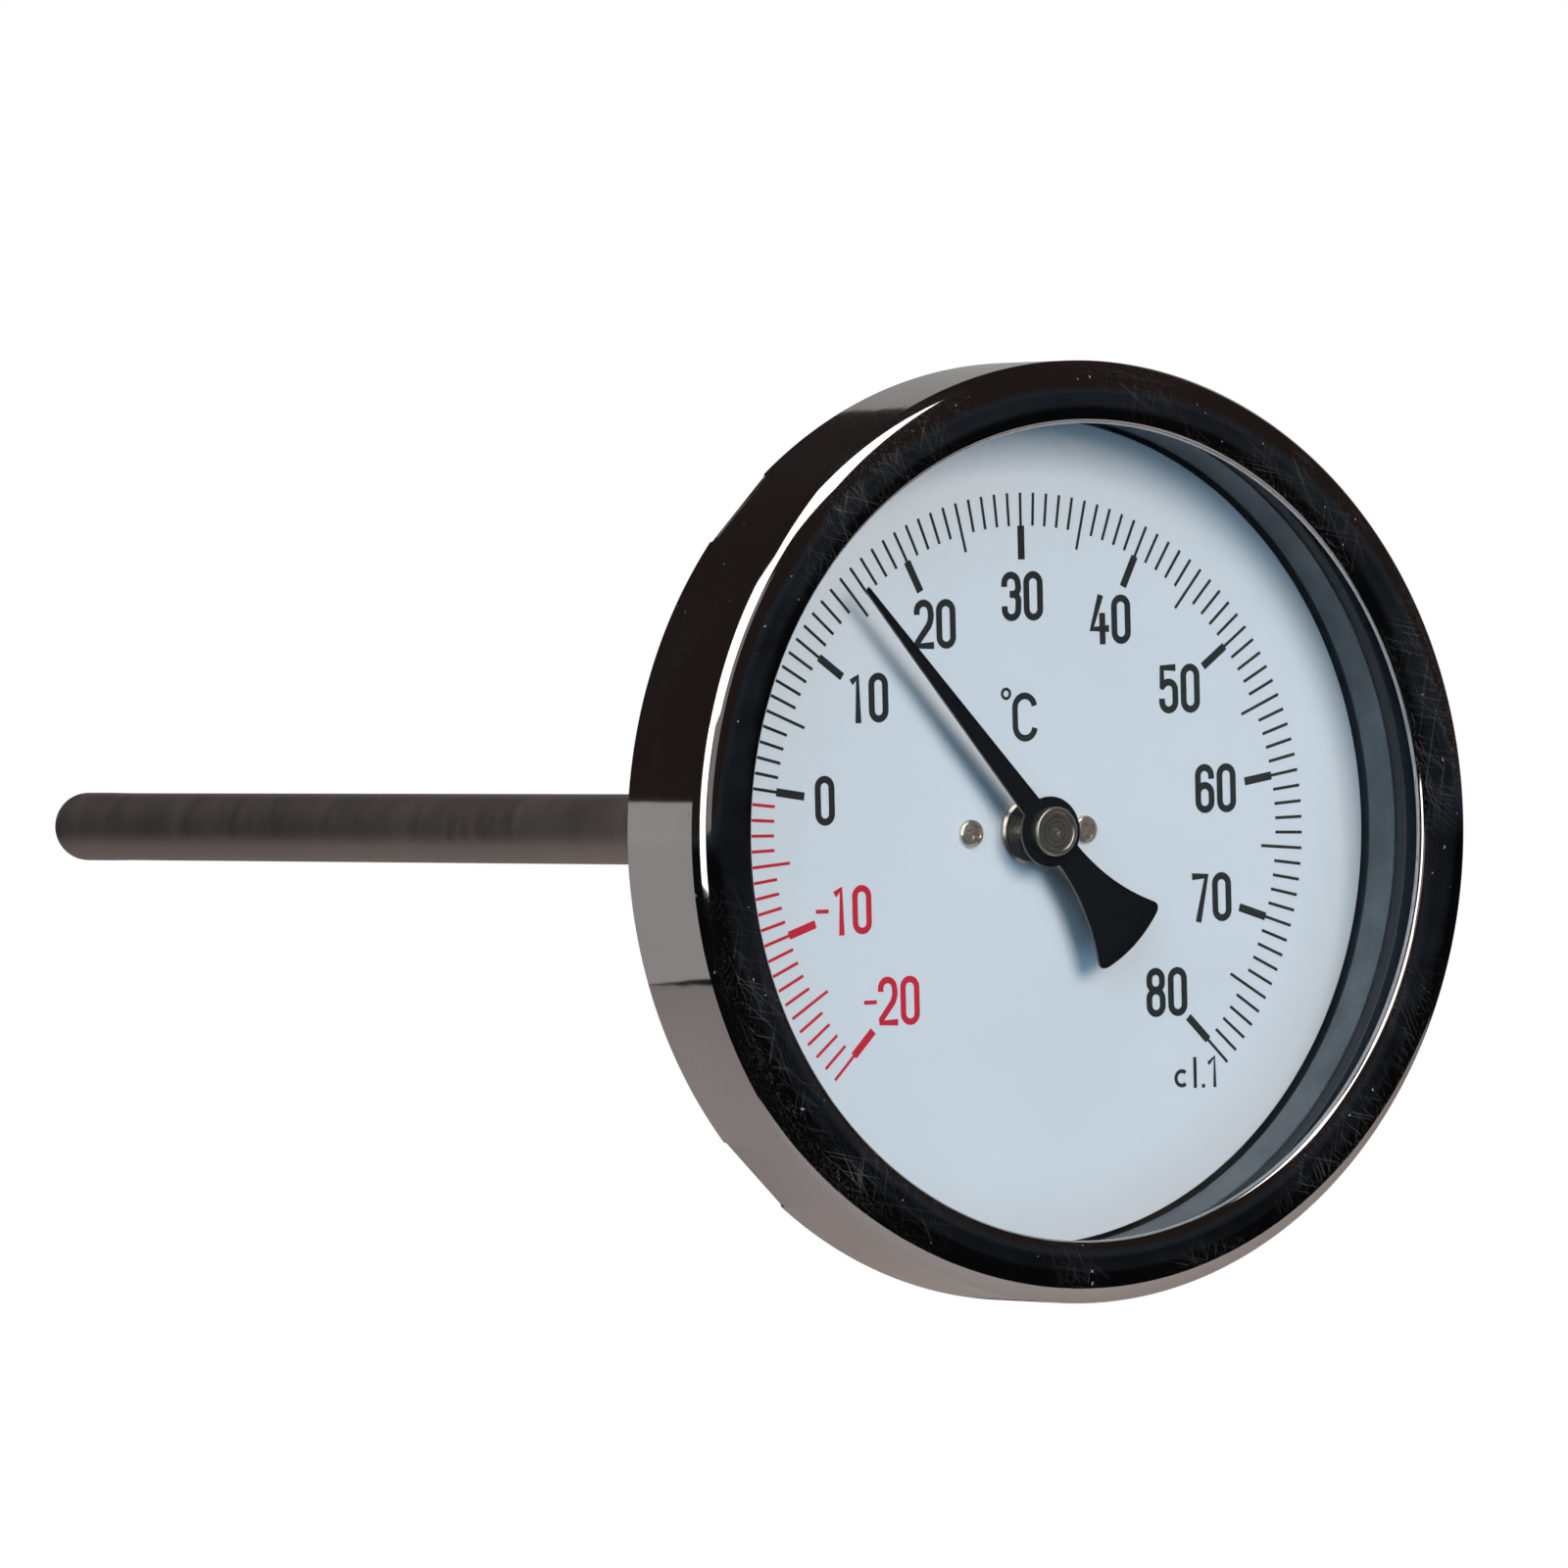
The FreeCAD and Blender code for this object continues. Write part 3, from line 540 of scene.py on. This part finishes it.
def make_gasket():
    """The rubber ring: a seat behind the glass and a wall round its edge."""
    radius, front, back = reach("window_gasket")
    glass_radius, _, glass_back = reach("window")
    seat = 46.6
    round_off = 0.2
    bore = glass_radius + 0.1
    outline = [(seat, back)]
    outline += bend(seat + round_off, glass_back + round_off, round_off, 180, 270, 4)
    outline += [(bore, glass_back), (bore, front)]
    outline += [(radius, front), (radius, back)]
    gasket = turned("glass_gasket", outline)
    place_piece(gasket, rubber, "black_rubber", "housing", "window_gasket")
    # The faces that look to the front lie in the lip's shadow and take the lighter rubber copy: painted
    # light laid over that shade.
    gasket.data.materials.append(painted_light_rubber)
    for face in gasket.data.polygons:
        if face.normal[1] < -0.5:
            face.material_index = 1
    return gasket


def make_ring():
    """The grey ring round the dial: an undercut foot and a throat that flares to the glass."""
    radius, front, back = reach("spacer_ring")
    dial_radius, dial_front, _ = reach("dial")
    throat = dial_radius + 0.4
    foot = throat + 1.0
    ledge = dial_front - 0.8
    ease = 0.15
    flare = 0.8
    taper = 3
    outline = [(foot, back), (foot, ledge)]
    outline += bend(throat + ease, ledge - ease, ease, 90, 180, 4)
    outline += [(throat + flare, front), (radius, front), (radius, back - taper)]
    outline += [(foot + ease, back)]
    ring = turned("dial_ring", outline)
    return place_piece(ring, ring_paint, "grey_ring", "housing", "spacer_ring")


def make_case():
    """The drawn cup behind the dial, with a hole for the neck."""
    radius, front, back = reach("case")
    sheet = 1.0
    corner = 3.0
    hole = 5.1
    bore = radius - sheet
    outline = [(hole, back - sheet)]
    outline += bend(radius - corner, back - corner, corner - sheet, 90, 0)
    outline += [(bore, front), (radius, front)]
    outline += bend(radius - corner, back - corner, corner, 0, 90, 12)
    outline += [(hole, back)]
    case = turned("case_cup", outline)
    return place_piece(case, case_steel, "case_steel", "housing", "case")


def make_stem():
    """The tube: a spigot for the neck, a plain length and a tip that is drawn out a little."""
    radius, front, tip = reach("stem")
    bore = 3.4
    spigot = 3.8
    centre = tip - radius
    swell = 0.05
    ease = 0.1
    outline = [(bore, front), (spigot, front), (spigot, 0), (radius - ease, 0), (radius, ease)]
    outline += [(radius, 60), (radius, 120), (radius, tip - 14), (radius + swell, tip - 9)]
    outline += [(radius + swell, centre)]
    widened = 1 + swell / radius
    rounding = bend(0, centre, radius, 10, 90, 14)
    outline += [(across * widened, place) for across, place in rounding]
    outline += bend(0, centre, bore, 90, 0, 10)
    stem = turned("stem_tube", outline, steps=128)
    return place_piece(stem, stem_steel, "stem_steel", "housing", "stem")


# ---------------------------------------------------------------- dial and print


def turn_to(value):
    """How far clockwise from the top a reading lies, in degrees."""
    return (value - TOP_OF_SCALE) * TURN_PER_DEGREE


def make_dial():
    """The enamelled plate, pierced for the bush."""
    radius, front, back = reach("dial")
    ease = 0.06
    hole = 2.1
    outline = [(hole, front), (radius - ease, front), (radius, front + ease)]
    outline += [(radius, back), (hole, back)]
    dial = turned("dial_plate", outline)
    return place_piece(dial, enamel, "dial_enamel", "housing", "dial")


def print_level():
    """Where the middle of the print's thickness lies, with its back on the dial."""
    return reach("dial")[1] - INK / 2


def make_bar(width, outer, inner, level):
    """One mark of the scale, a low bar of ink that points at the centre from the top."""
    bar = block((width, INK, outer - inner), 0.006, 1)
    shift(bar, 0, level, (outer + inner) / 2)
    return bar


def make_scale():
    """A mark for each degree, longer at the fives, with a thick bar at the tens."""
    level = print_level()
    outer, single_end, five_end, ten_end = 37.0, 33.4, 31.5, 29.7
    thin, thick = 0.34, 0.90
    single = make_bar(thin, outer, single_end, level)
    five = make_bar(thin, outer, five_end, level)
    ten = make_bar(thick, single_end, ten_end, level)
    marks = {"red": [], "black": []}
    for value in range(-20, 81):
        models = [five if value % 5 == 0 and value % 10 else single]
        if value % 10 == 0:
            models.append(ten)
        for model in models:
            mark = copy_of(model)
            spin(mark, turn_to(value))
            marks["red" if value < 0 else "black"].append(mark)
    for model in (single, five, ten):
        bpy.data.objects.remove(model)
    red = joined(marks["red"], "scale_marks_below_zero")
    black = joined(marks["black"], "scale_marks")
    place_piece(red, red_ink, "dial_enamel", "housing")
    place_piece(black, black_ink, "dial_enamel", "housing")


# A numeral fills a box 1.8 wide and 4.64 high, measured between the middles of its strokes.
# Digits stand a pitch apart, and a minus is thinner and stands a little closer.
SIDE = 0.90
TALL = 2.32
STROKE = 0.79
END = TALL + STROKE / 2
PITCH = 2.93
MINUS_WEIGHT = 0.6
MINUS_GAP = 0.78


def over(side=SIDE):
    """The round top of a numeral, from its left side over to its right."""
    return bend(0, TALL - side, side, 180, 0, 12)


def under():
    """The round bottom, from the right side under to the left."""
    return bend(0, -TALL + SIDE, SIDE, 0, -180, 12)


NUMERALS = {
    "0": [(over() + under(), True)],
    "1": [([(-0.62, 1.72), (0.22, TALL - 0.05), (0.22, -END)], False)],
    "2": [
        (
            [(-SIDE, 1.05)]
            + over()
            + bend(-1.4, 1.05, 2.355, 0, -32, 5)
            + [(-SIDE, -TALL + 0.35), (-SIDE, -TALL), (END - 1.42, -TALL)],
            False,
        )
    ],
    "3": [
        ([(-SIDE, 1.05)] + over() + bend(0.2, 0.98, 0.755, 0, -90, 6) + [(-0.2, 0.225)], False),
        ([(0.2, 0.225)] + bend(0.2, -0.53, 0.755, 90, 0, 6) + under() + [(-SIDE, -1.05)], False),
    ],
    "4": [
        ([(0.25, END), (-1.0, -0.98), (1.3, -0.98)], False),
        ([(0.42, 0.75), (0.42, -END)], False),
    ],
    "5": [
        (
            [(SIDE + 0.1, TALL), (-SIDE + 0.05, TALL), (-SIDE + 0.05, 0.25)]
            + bend(0, -0.15, SIDE, 155, 0, 10)
            + under()
            + [(-SIDE, -1.05)],
            False,
        )
    ],
    "6": [
        ([(SIDE, 1.05)] + over()[::-1] + under()[::-1] + bend(0, -0.55, SIDE, 0, 180, 10), False)
    ],
    "7": [([(-SIDE - 0.15, TALL), (SIDE, TALL), (-0.3, -END)], False)],
    "8": [
        (over(side=0.86) + bend(0, 1.1, 0.86, 0, -180, 12), True),
        (bend(0, -0.72, SIDE, 180, 0, 12) + under(), True),
    ],
    "-": [([(-0.84, -0.05), (0.84, -0.05)], False)],
}


def write(text, across, up):
    """The strokes of a number, with the middle of its digits at a place on the dial."""
    digits = text.lstrip("-")
    strokes = []
    first = across - PITCH * (len(digits) - 1) / 2
    places = [(digit, first + PITCH * k) for k, digit in enumerate(digits)]
    if text != digits:
        places.append(("-", first - PITCH * MINUS_GAP))
    for digit, middle in places:
        weight = MINUS_WEIGHT if digit == "-" else 1
        for points, closed in NUMERALS[digit]:
            strokes.append(([(middle + x, up + z) for x, z in points], closed, weight))
    return strokes


def make_numerals():
    """The numbers, upright inside their marks: red ones a little further in, the zero further out."""
    circle = 25.7
    red_stroke = STROKE * 0.92
    black = []
    red = []
    for value in range(-20, 81, 10):
        turn = math.radians(turn_to(value))
        inset = 0
        if value < 0:
            inset = 0.9
        elif value == 0:
            inset = -1.3
        across = (circle - inset) * math.sin(turn)
        up = (circle - inset * 0.5) * math.cos(turn)
        (red if value < 0 else black).extend(write(str(value), across, up))
    level = print_level()
    above = inked("numerals", black, STROKE, level)
    place_piece(above, black_ink, "dial_enamel", "housing")
    below = inked("numerals_below_zero", red, red_stroke, level)
    place_piece(below, red_ink, "dial_enamel", "housing")


def make_unit():
    """The unit under the top number: a letter C with a straight back, and a small ring."""
    side, middle = 1.3, 12.5
    letter_stroke, ring_stroke = 0.74, 0.35
    top = bend(0, middle + TALL - side, side, 8, 180, 12)
    bottom = bend(0, middle - TALL + side, side, 180, 352, 12)
    letter = inked("unit_letter", [(top + bottom, False, 1)], letter_stroke, print_level())
    place_piece(letter, black_ink, "dial_enamel", "housing")
    ring = bend(-2.45, 15.1, 0.52, 0, 345, 20)
    degree = inked("unit_degree", [(ring, True, 1)], ring_stroke, print_level())
    place_piece(degree, black_ink, "dial_enamel", "housing")


def make_accuracy_class():
    """The small accuracy class low on the right: a c, an l, a point and a one."""
    base = -28.75
    foot = base - 0.12
    stroke = 0.44
    strokes = [
        bend(19.95, base + 1.02, 0.8, 50, 310, 14),
        [(21.75, foot), (21.75, base + 3.3)],
        [(22.85, foot), (22.85, base + 0.3)],
        [(23.55, base + 2.5), (24.4, base + 3.2), (24.4, foot)],
    ]
    strokes = [(points, False, 1) for points in strokes]
    accuracy = inked("accuracy_class", strokes, stroke, print_level())
    place_piece(accuracy, black_ink, "dial_enamel", "housing")


# ---------------------------------------------------------------- pointer


def eased(before, corner, after, steps=6):
    """A rounded corner between two points."""
    points = []
    for k in range(steps + 1):
        t = k / steps
        weights = ((1 - t) ** 2, 2 * t * (1 - t), t * t)
        trio = (before, corner, after)
        points.append(tuple(sum(w * p[axis] for w, p in zip(weights, trio)) for axis in (0, 1)))
    return points


def make_pointer():
    """The black sheet pointer: needle, round boss and flared tail, with a bare cut edge."""
    _, front, back = reach("pointer")
    long, tip, root, boss = 35.7, 0.3, 1.306, 3.85
    flank = (25.59, -2.65, 24.0)
    right = [(tip, long), (root, 3.622)]
    right += bend(0, 0, boss, 70.2, -65.1, 30)
    right += bend(*flank, 182.0, 210.3, 12)
    corner = (5.5, -15.77)
    tail = 16.7
    end = math.degrees(math.atan2(corner[1], corner[0])) - 4.2
    after = bend(0, 0, tail, end, end, 1)[0]
    right += eased(right[-1], corner, after)[1:]
    left = [(-across, up) for across, up in reversed(right)]
    tail_end = bend(0, 0, tail, end, -180 - end, 16)[1:-1]
    pointer = cut_sheet("pointer_sheet", right + tail_end + left, front, back - front, 0.05)
    spin(pointer, turn_to(READING))
    place_piece(pointer, lacquer, "pointer_black", "movement", "pointer")
    pointer.data.materials.append(cut_edge)
    for face in pointer.data.polygons:
        if abs(face.normal[1]) < 0.4:
            face.material_index = 1
    return pointer


# ---------------------------------------------------------------- hub, bush and screws


def make_hub():
    """The turned cap on the pointer: a raised rim, a dished face and a small centre mark."""
    radius, front, back = reach("pointer_hub")
    pointer_front, pointer_back = reach("pointer")[1:]
    chamfer = 0.3
    bore, bore_end = 0.6, front + 0.6
    core, neck = 1.0, 1.4
    outline = [(0, front + 0.42), (0.32, front + 0.16), (0.5, front + 0.08), (0.6, front + 0.13)]
    outline += [(1.0, front + 0.12), (radius - 0.62, front + 0.1), (radius - 0.5, front)]
    outline += bend(radius - chamfer, front + chamfer, chamfer, -90, 0, 6)
    outline += [(radius, pointer_front), (core, pointer_front), (core, pointer_back)]
    outline += [(neck, pointer_back), (neck, back - 0.1), (neck - 0.1, back)]
    outline += [(bore, back), (bore, bore_end), (0, bore_end)]
    hub = turned("hub_cap", outline, steps=96, sharp=28)
    return place_piece(hub, hub_nickel, "nickel", "movement", "pointer_hub")


def make_bush():
    """The low disc in the middle of the dial, with a bevelled rim and the spindle's boss."""
    radius, front, back = reach("centre_bush")
    seat = reach("dial")[1]
    flange = seat - 0.7
    bore, boss, spigot = 0.66, 1.4, 1.9
    ease = 0.1
    outline = [(bore, back), (bore, front), (boss - ease, front), (boss, front + ease)]
    outline += [(boss, flange), (1.55, flange), (radius - 0.55, flange)]
    outline += [(radius - 0.3, flange + 0.07), (radius, flange + 0.32), (radius, seat)]
    outline += [(spigot, seat), (spigot, back)]
    bush = turned("bush_disc", outline, steps=96, sharp=14)
    return place_piece(bush, bush_nickel, "nickel", "housing", "centre_bush")


def make_screws():
    """Two pan head screws with cross recesses; one is modelled and the other is its copy."""
    _, front, back = reach("dial_screws")
    seat = reach("dial")[1]
    edge = 1.55
    shank = 0.8
    place = 7.6
    rim = seat - 0.36
    outline = [(0, front)]
    outline += [(0.7, front + 0.05), (1.05, front + 0.14), (1.35, front + 0.29), (1.5, rim - 0.04)]
    outline += [(edge, rim + 0.06), (edge, seat), (shank, seat), (shank, back), (0, back)]
    first = turned("screw_head", outline, steps=64, sharp=30)
    for turn in (22, 112):
        recess = block((1.95, 1.1, 0.46), 0.1, 2)
        shift(recess, 0, front, 0)
        spin(recess, turn)
        cut_away(first, recess)
    second = copy_of(first)
    spin(second, 35)
    for screw, across in ((first, -place), (second, place)):
        shift(screw, across, 0, 0)
    screws = finish_mesh(joined([first, second], "pan_screws"), "pan_screws", 30)
    return place_piece(screws, screw_nickel, "nickel", "housing", "dial_screws")


# ---------------------------------------------------------------- the camera and the studio


def make_camera():
    """A long lens, in front of the dial and to its left."""
    camera_data = bpy.data.cameras.new("camera")
    camera_data.lens = 348.35
    camera_data.sensor_width = 36
    camera_data.clip_start = 0.05
    camera = bpy.data.objects.new("camera", camera_data)
    bpy.context.scene.collection.objects.link(camera)
    camera.location = (-0.95003, -1.36844, 0.03255)
    camera.rotation_euler = [math.radians(angle) for angle in (89.0742, 1.3118, -34.1127)]
    bpy.context.scene.camera = camera


def soft_box(name, place, size, power, tint=(1, 1, 1), shines_on="all"):
    """A square soft light that faces the middle of the dial, for matt or for mirroring skins or both."""
    light = bpy.data.lights.new(name, "AREA")
    light.shape = "RECTANGLE"
    light.size, light.size_y = size
    light.energy = power
    light.color = tint
    box = bpy.data.objects.new(name, light)
    bpy.context.scene.collection.objects.link(box)
    box.location = place
    box.rotation_euler = (-box.location).to_track_quat("-Z", "Y").to_euler()
    box.visible_camera = False
    box.visible_diffuse = shines_on != "mirrors"
    box.visible_glossy = shines_on != "matt"


def make_studio():
    """Soft boxes round the instrument and a small card beside the skirt, then floor and room."""
    warm, cool, white = (1.0, 0.863, 0.757), (0.46, 0.76, 1.0), (1, 1, 1)
    soft_box("box_key", (0.0, -1.38, 0.36), (0.6, 0.6), 20.3, warm, "matt")
    soft_box("box_fill", (-0.72, -0.72, 0.60), (1.0, 1.0), 7.4, cool, "matt")
    soft_box("box_low", (0.30, -1.30, -0.40), (0.8, 0.8), 5, cool, "matt")
    soft_box("box_left", (-1.10, -0.75, 0.145), (0.6, 0.71), 4.3, white, "mirrors")
    soft_box("box_upper_left", (-0.81, -0.68, 0.75), (0.8, 0.8), 5.9, white, "mirrors")
    soft_box("box_top", (-0.26, -0.52, 1.17), (0.8, 0.8), 5.9, white, "mirrors")
    soft_box("box_front_left", (-0.62, -1.15, 0.42), (0.5, 0.85), 0.4, white, "mirrors")
    soft_box("box_rear_right", (0.92, 1.12, 0.30), (0.9, 0.9), 0.85)
    soft_box("card_left", (-0.109, 0.072, -0.0188), (0.08, 0.0658), 0.0076, white, "mirrors")
    soft_box("box_over_floor", (0.20, 0.50, 0.90), (0.6, 0.6), 1.3, (1.0, 0.5, 0.35), "matt")
    soft_box("box_rear", (0.0, 1.8, 0.42), (0.7, 0.7), 0.3)
    make_floor()
    make_room()
    bpy.context.scene.view_settings.view_transform = "Standard"


def make_floor():
    """A round pale floor, below the instrument and behind it."""
    below = cad_box[0][2] - 0.10
    bpy.ops.object.select_all(action="DESELECT")
    bpy.ops.mesh.primitive_circle_add(
        vertices=128, radius=0.45, fill_type="NGON", location=(0.22, 0.30, below)
    )
    floor = bpy.context.object
    floor.name = "pale_floor"
    bpy.ops.object.transform_apply(location=True, rotation=True, scale=True)
    paper = make_soft("pale_paper", (0.90, 0.865, 0.835), (0.95, 0.915, 0.88), 0.7, 90, 0.02)
    floor.data.materials.append(paper)


def make_room():
    """A dim room, cool at eye level, warm above and dark below; the camera sees it as white."""
    horizon = 0.035
    world = bpy.data.worlds.new("studio")
    world.use_nodes = True
    bpy.context.scene.world = world
    tree = world.node_tree
    tree.nodes.clear()
    room = tree.nodes.new("ShaderNodeBackground")
    room.inputs["Strength"].default_value = 0.2
    towards = tree.nodes.new("ShaderNodeTexCoord")
    axes = tree.nodes.new("ShaderNodeSeparateXYZ")
    level = tree.nodes.new("ShaderNodeMapRange")
    level.inputs["From Min"].default_value = -horizon
    level.inputs["From Max"].default_value = horizon
    wall = tree.nodes.new("ShaderNodeValToRGB")
    wall.color_ramp.elements[0].color = (0.020, 0.022, 0.026, 1)
    wall.color_ramp.elements[1].color = (0.125, 0.096, 0.084, 1)
    wall.color_ramp.elements.new(0.5).color = (0.135, 0.175, 0.225, 1)
    tree.links.new(towards.outputs["Generated"], axes.inputs[0])
    tree.links.new(axes.outputs[2], level.inputs[0])
    tree.links.new(level.outputs[0], wall.inputs[0])
    tree.links.new(wall.outputs[0], room.inputs["Color"])
    backdrop = tree.nodes.new("ShaderNodeBackground")
    backdrop.inputs["Color"].default_value = (1, 1, 1, 1)
    path = tree.nodes.new("ShaderNodeLightPath")
    either = tree.nodes.new("ShaderNodeMixShader")
    output = tree.nodes.new("ShaderNodeOutputWorld")
    tree.links.new(path.outputs["Is Camera Ray"], either.inputs[0])
    tree.links.new(room.outputs[0], either.inputs[1])
    tree.links.new(backdrop.outputs[0], either.inputs[2])
    tree.links.new(either.outputs[0], output.inputs["Surface"])


def refinish(material, *nodes):
    """Gives CAD nodes that keep their shape a finish."""
    for node in nodes:
        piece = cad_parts[node]
        if not piece.material_slots:
            piece.data.materials.append(material)
        for slot in piece.material_slots:
            slot.material = material


make_camera()
make_studio()
make_bezel()
make_window()
make_gasket()
make_ring()
make_case()
make_stem()
make_dial()
make_scale()
make_numerals()
make_unit()
make_accuracy_class()
make_pointer()
make_hub()
make_bush()
make_screws()
refinish(plated_steel, "dial_bracket", "lock_nut", "lock_washer")
refinish(brass, "dial_pillars", "stem_head", "coil_collar", "coil_anchor")
refinish(brass, "upper_guide", "lower_guide")
refinish(spindle_steel, "spindle")
refinish(bimetal, "bimetal_coil")
refinish(rubber, "head_seal")
